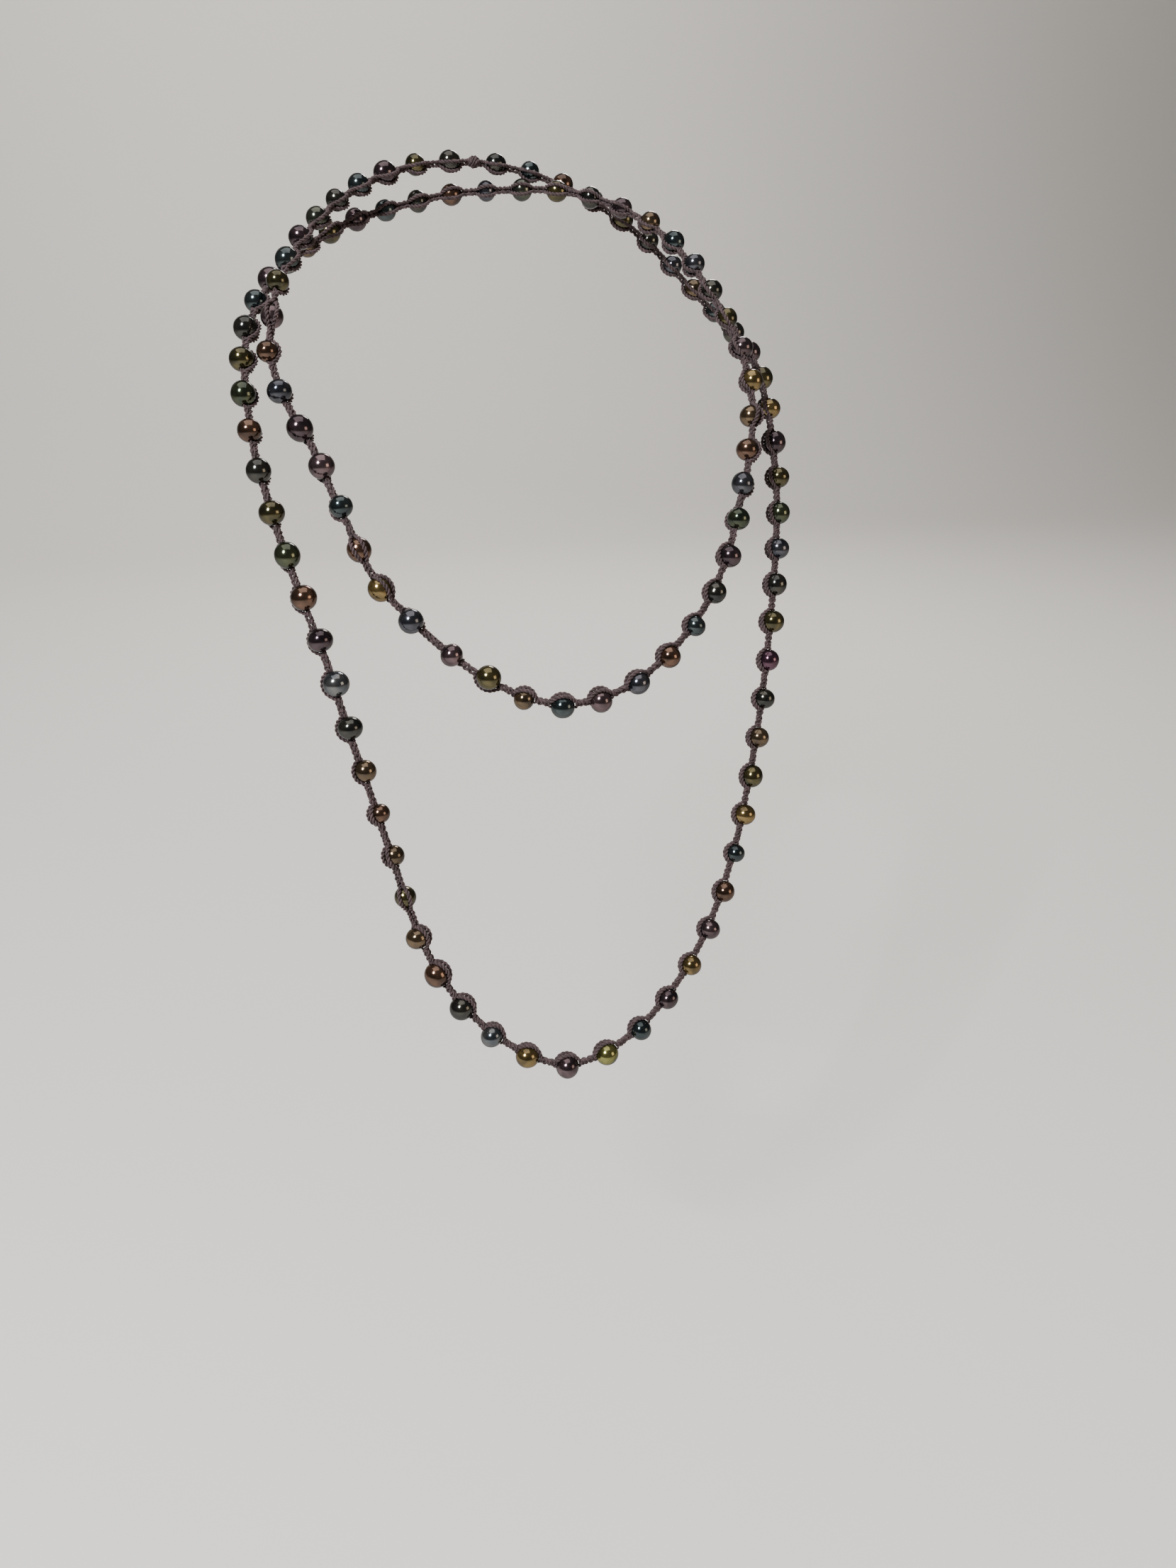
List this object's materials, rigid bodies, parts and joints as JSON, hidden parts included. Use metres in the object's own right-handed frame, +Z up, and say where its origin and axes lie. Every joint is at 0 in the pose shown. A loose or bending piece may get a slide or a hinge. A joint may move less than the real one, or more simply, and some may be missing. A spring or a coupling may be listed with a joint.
{
  "type": "pearl necklace",
  "caption": "Endless rope necklace of dark off-round pearls worked into a crocheted thread chain, wound twice round a neck so that it hangs in an inner and an outer loop.",
  "frame": {"origin": "at the nape of the wearer's neck, in the middle between the two turns of rope", "axes": "+X to the wearer's left, -Y to the wearer's front, +Z up, with the necklace hanging down the chest"},
  "size_m": [0.1647, 0.1533, 0.2565],
  "materials": {
    "crochet_thread": "matt dark mauve-brown crocheted thread",
    "knot_thread": "matt tightly pulled dark thread",
    "pearl_nape": "glossy dark nacre in mixed green, aubergine and bronze",
    "pearl_sides": "glossy dark nacre in mixed green, aubergine and bronze",
    "pearl_inner_front": "glossy dark nacre in mixed green, slate and copper",
    "pearl_outer_front": "glossy dark nacre in mixed gold, copper and teal"
  },
  "bodies": {
    "nape": {"chain_nape_upper_right": "crochet_thread", "pearls_nape_upper_right_1": "pearl_nape", "pearls_nape_upper_right_2": "pearl_nape", "chain_nape_lower": "crochet_thread", "pearls_nape_lower_1": "pearl_nape", "pearls_nape_lower_2": "pearl_nape", "pearls_nape_lower_3": "pearl_nape", "pearls_nape_lower_4": "pearl_nape", "chain_nape_upper_left": "crochet_thread", "pearls_nape_upper_left_1": "pearl_nape", "pearls_nape_upper_left_2": "pearl_nape", "threads_nape": "crochet_thread", "join_knot": "knot_thread"},
    "inner_side": {"chain_inner_side_right": "crochet_thread", "pearls_inner_side_right": "pearl_sides", "chain_inner_side_left": "crochet_thread", "pearls_inner_side_left": "pearl_sides", "threads_inner_side": "crochet_thread"},
    "inner_front": {"chain_inner_front": "crochet_thread", "threads_inner_front": "crochet_thread"},
    "outer_upper": {"chain_outer_upper_right": "crochet_thread", "pearls_outer_upper_right": "pearl_sides", "chain_outer_upper_left": "crochet_thread", "pearls_outer_upper_left": "pearl_sides", "threads_outer_upper": "crochet_thread"},
    "outer_middle": {"chain_outer_middle_right": "crochet_thread", "pearls_outer_middle_right": "pearl_sides", "chain_outer_middle_left": "crochet_thread", "pearls_outer_middle_left": "pearl_sides", "threads_outer_middle": "crochet_thread"},
    "outer_front": {"chain_outer_front": "crochet_thread", "threads_outer_front": "crochet_thread"},
    "pearl_inner_front_01": {"pearl_inner_front_01": "pearl_inner_front"},
    "pearl_inner_front_02": {"pearl_inner_front_02": "pearl_inner_front"},
    "pearl_inner_front_03": {"pearl_inner_front_03": "pearl_inner_front"},
    "pearl_inner_front_04": {"pearl_inner_front_04": "pearl_inner_front"},
    "pearl_inner_front_05": {"pearl_inner_front_05": "pearl_inner_front"},
    "pearl_inner_front_06": {"pearl_inner_front_06": "pearl_inner_front"},
    "pearl_inner_front_07": {"pearl_inner_front_07": "pearl_inner_front"},
    "pearl_inner_front_08": {"pearl_inner_front_08": "pearl_inner_front"},
    "pearl_inner_front_09": {"pearl_inner_front_09": "pearl_inner_front"},
    "pearl_inner_front_10": {"pearl_inner_front_10": "pearl_inner_front"},
    "pearl_inner_front_11": {"pearl_inner_front_11": "pearl_inner_front"},
    "pearl_inner_front_12": {"pearl_inner_front_12": "pearl_inner_front"},
    "pearl_outer_front_01": {"pearl_outer_front_01": "pearl_outer_front"},
    "pearl_outer_front_02": {"pearl_outer_front_02": "pearl_outer_front"},
    "pearl_outer_front_03": {"pearl_outer_front_03": "pearl_outer_front"},
    "pearl_outer_front_04": {"pearl_outer_front_04": "pearl_outer_front"},
    "pearl_outer_front_05": {"pearl_outer_front_05": "pearl_outer_front"},
    "pearl_outer_front_06": {"pearl_outer_front_06": "pearl_outer_front"},
    "pearl_outer_front_07": {"pearl_outer_front_07": "pearl_outer_front"},
    "pearl_outer_front_08": {"pearl_outer_front_08": "pearl_outer_front"},
    "pearl_outer_front_09": {"pearl_outer_front_09": "pearl_outer_front"},
    "pearl_outer_front_10": {"pearl_outer_front_10": "pearl_outer_front"},
    "pearl_outer_front_11": {"pearl_outer_front_11": "pearl_outer_front"},
    "pearl_outer_front_12": {"pearl_outer_front_12": "pearl_outer_front"},
    "pearl_outer_front_13": {"pearl_outer_front_13": "pearl_outer_front"},
    "pearl_outer_front_14": {"pearl_outer_front_14": "pearl_outer_front"}
  },
  "joints": [
    {"name": "fold_inner_side", "type": "hinge", "parent": "nape", "child": "inner_side", "pos_m": [0.00225, -0.084, -0.07475], "axis": [-1, 0, -0.0039], "range_deg": [0, 45]},
    {"name": "fold_inner_front", "type": "hinge", "parent": "inner_side", "child": "inner_front", "pos_m": [0.00225, -0.1005, -0.104], "axis": [-0.9993, 0, -0.0379], "range_deg": [0, 45]},
    {"name": "fold_outer_upper", "type": "hinge", "parent": "nape", "child": "outer_upper", "pos_m": [0.00025, -0.07775, -0.0745], "axis": [-0.9956, -0.0928, -0.0128], "range_deg": [0, 45]},
    {"name": "fold_outer_middle", "type": "hinge", "parent": "outer_upper", "child": "outer_middle", "pos_m": [0.004, -0.10125, -0.12625], "axis": [-0.9922, -0.1204, -0.0328], "range_deg": [0, 45]},
    {"name": "fold_outer_front", "type": "hinge", "parent": "outer_middle", "child": "outer_front", "pos_m": [0.00175, -0.12275, -0.18775], "axis": [-0.9979, -0.0627, 0.0145], "range_deg": [0, 45]},
    {"name": "pearl_inner_front_01_turn", "type": "hinge", "parent": "inner_front", "child": "pearl_inner_front_01", "pos_m": [-0.04793, -0.10168, -0.1113], "axis": [0.5229, -0.2843, -0.8036], "continuous": true},
    {"name": "pearl_inner_front_02_turn", "type": "hinge", "parent": "inner_front", "child": "pearl_inner_front_02", "pos_m": [-0.04051, -0.10646, -0.11949], "axis": [0.663, -0.2917, -0.6895], "continuous": true},
    {"name": "pearl_inner_front_03_turn", "type": "hinge", "parent": "inner_front", "child": "pearl_inner_front_03", "pos_m": [-0.03037, -0.1108, -0.12868], "axis": [0.7381, -0.3141, -0.5971], "continuous": true},
    {"name": "pearl_inner_front_04_turn", "type": "hinge", "parent": "inner_front", "child": "pearl_inner_front_04", "pos_m": [-0.02085, -0.11426, -0.13482], "axis": [0.8015, -0.3113, -0.5105], "continuous": true},
    {"name": "pearl_inner_front_05_turn", "type": "hinge", "parent": "inner_front", "child": "pearl_inner_front_05", "pos_m": [-0.01155, -0.1168, -0.14111], "axis": [0.9161, -0.243, -0.319], "continuous": true},
    {"name": "pearl_inner_front_06_turn", "type": "hinge", "parent": "inner_front", "child": "pearl_inner_front_06", "pos_m": [-0.00098, -0.11902, -0.1435], "axis": [0.9911, -0.1151, -0.0662], "continuous": true},
    {"name": "pearl_inner_front_07_turn", "type": "hinge", "parent": "inner_front", "child": "pearl_inner_front_07", "pos_m": [0.01004, -0.11939, -0.14256], "axis": [0.9819, 0.0241, 0.188], "continuous": true},
    {"name": "pearl_inner_front_08_turn", "type": "hinge", "parent": "inner_front", "child": "pearl_inner_front_08", "pos_m": [0.0214, -0.11828, -0.13858], "axis": [0.8706, 0.1791, 0.4582], "continuous": true},
    {"name": "pearl_inner_front_09_turn", "type": "hinge", "parent": "inner_front", "child": "pearl_inner_front_09", "pos_m": [0.03128, -0.11576, -0.13224], "axis": [0.7821, 0.249, 0.5713], "continuous": true},
    {"name": "pearl_inner_front_10_turn", "type": "hinge", "parent": "inner_front", "child": "pearl_inner_front_10", "pos_m": [0.03999, -0.11238, -0.12468], "axis": [0.661, 0.3209, 0.6784], "continuous": true},
    {"name": "pearl_inner_front_11_turn", "type": "hinge", "parent": "inner_front", "child": "pearl_inner_front_11", "pos_m": [0.04745, -0.10832, -0.11624], "axis": [0.5706, 0.3726, 0.7319], "continuous": true},
    {"name": "pearl_inner_front_12_turn", "type": "hinge", "parent": "inner_front", "child": "pearl_inner_front_12", "pos_m": [0.05328, -0.10343, -0.10695], "axis": [0.4263, 0.446, 0.787], "continuous": true},
    {"name": "pearl_outer_front_01_turn", "type": "hinge", "parent": "outer_front", "child": "pearl_outer_front_01", "pos_m": [-0.04872, -0.12674, -0.19294], "axis": [0.1891, -0.2648, -0.9456], "continuous": true},
    {"name": "pearl_outer_front_02_turn", "type": "hinge", "parent": "outer_front", "child": "pearl_outer_front_02", "pos_m": [-0.04648, -0.13048, -0.20435], "axis": [0.3463, -0.2491, -0.9045], "continuous": true},
    {"name": "pearl_outer_front_03_turn", "type": "hinge", "parent": "outer_front", "child": "pearl_outer_front_03", "pos_m": [-0.04196, -0.13358, -0.21523], "axis": [0.4284, -0.2456, -0.8696], "continuous": true},
    {"name": "pearl_outer_front_04_turn", "type": "hinge", "parent": "outer_front", "child": "pearl_outer_front_04", "pos_m": [-0.03572, -0.13662, -0.22534], "axis": [0.5878, -0.235, -0.7741], "continuous": true},
    {"name": "pearl_outer_front_05_turn", "type": "hinge", "parent": "outer_front", "child": "pearl_outer_front_05", "pos_m": [-0.02782, -0.13957, -0.23423], "axis": [0.7168, -0.2226, -0.6608], "continuous": true},
    {"name": "pearl_outer_front_06_turn", "type": "hinge", "parent": "outer_front", "child": "pearl_outer_front_06", "pos_m": [-0.01809, -0.14222, -0.24125], "axis": [0.8566, -0.1976, -0.4767], "continuous": true},
    {"name": "pearl_outer_front_07_turn", "type": "hinge", "parent": "outer_front", "child": "pearl_outer_front_07", "pos_m": [-0.00661, -0.14402, -0.24554], "axis": [0.9928, -0.0443, -0.1111], "continuous": true},
    {"name": "pearl_outer_front_08_turn", "type": "hinge", "parent": "outer_front", "child": "pearl_outer_front_08", "pos_m": [0.00564, -0.1433, -0.24381], "axis": [0.9444, 0.1319, 0.3011], "continuous": true},
    {"name": "pearl_outer_front_09_turn", "type": "hinge", "parent": "outer_front", "child": "pearl_outer_front_09", "pos_m": [0.01663, -0.14113, -0.23868], "axis": [0.824, 0.2262, 0.5195], "continuous": true},
    {"name": "pearl_outer_front_10_turn", "type": "hinge", "parent": "outer_front", "child": "pearl_outer_front_10", "pos_m": [0.02602, -0.13808, -0.23145], "axis": [0.7275, 0.2733, 0.6294], "continuous": true},
    {"name": "pearl_outer_front_11_turn", "type": "hinge", "parent": "outer_front", "child": "pearl_outer_front_11", "pos_m": [0.03427, -0.13451, -0.22315], "axis": [0.6178, 0.3124, 0.7216], "continuous": true},
    {"name": "pearl_outer_front_12_turn", "type": "hinge", "parent": "outer_front", "child": "pearl_outer_front_12", "pos_m": [0.04128, -0.13057, -0.21399], "axis": [0.5388, 0.3334, 0.7736], "continuous": true},
    {"name": "pearl_outer_front_13_turn", "type": "hinge", "parent": "outer_front", "child": "pearl_outer_front_13", "pos_m": [0.04722, -0.12636, -0.20418], "axis": [0.4312, 0.3541, 0.8299], "continuous": true},
    {"name": "pearl_outer_front_14_turn", "type": "hinge", "parent": "outer_front", "child": "pearl_outer_front_14", "pos_m": [0.052, -0.12197, -0.1939], "axis": [0.3826, 0.3614, 0.8503], "continuous": true}
  ]
}
